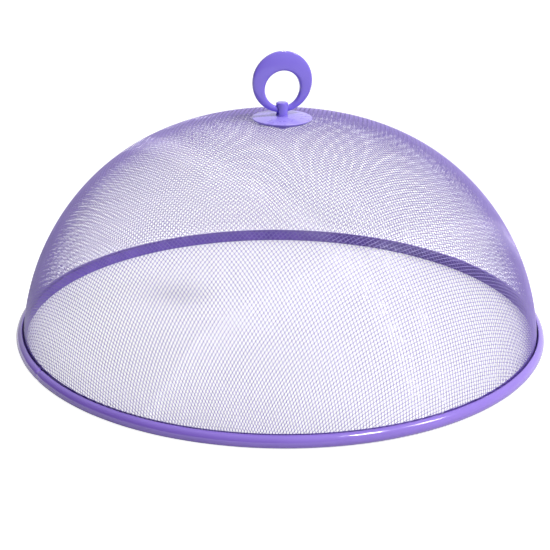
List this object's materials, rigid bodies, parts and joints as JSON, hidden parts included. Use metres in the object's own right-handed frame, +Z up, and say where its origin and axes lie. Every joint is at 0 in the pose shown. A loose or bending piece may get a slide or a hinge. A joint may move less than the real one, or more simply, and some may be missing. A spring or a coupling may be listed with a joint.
{
  "type": "mesh food cover",
  "caption": "Domed wire mesh food cover with a rolled rim and a folding finger ring, to stand over a plate and keep insects off.",
  "frame": {"origin": "centre of the rim, in the plane of its flat underside, on the table", "axes": "+Z up through the middle of the dome; the finger ring stands in the XZ plane and folds about an axis along X; -Y is the front"},
  "size_m": [0.35, 0.35, 0.1865],
  "materials": {
    "cloth_paint": "thin violet paint on woven steel wire",
    "rim_paint": "glossy violet enamel on rolled steel strip",
    "hoop_steel": "bare drawn wire",
    "rosette_gloss": "glossy violet moulding",
    "post_gloss": "glossy violet moulding",
    "ring_gloss": "glossy violet moulding",
    "backing_plastic": "violet moulding, plainer than the top side"
  },
  "bodies": {
    "cover": {"mesh_dome": "cloth_paint", "rim_channel": "rim_paint", "rim_hoop": "hoop_steel", "rosette": "rosette_gloss", "hinge_post": "post_gloss", "backing_plate": "backing_plastic"},
    "finger_ring": {"handle_ring": "ring_gloss"}
  },
  "joints": [
    {"name": "ring_fold", "type": "hinge", "parent": "cover", "child": "finger_ring", "pos_m": [0, 0, 0.14925], "axis": [1, 0, 0], "range_deg": [-90, 90]}
  ]
}
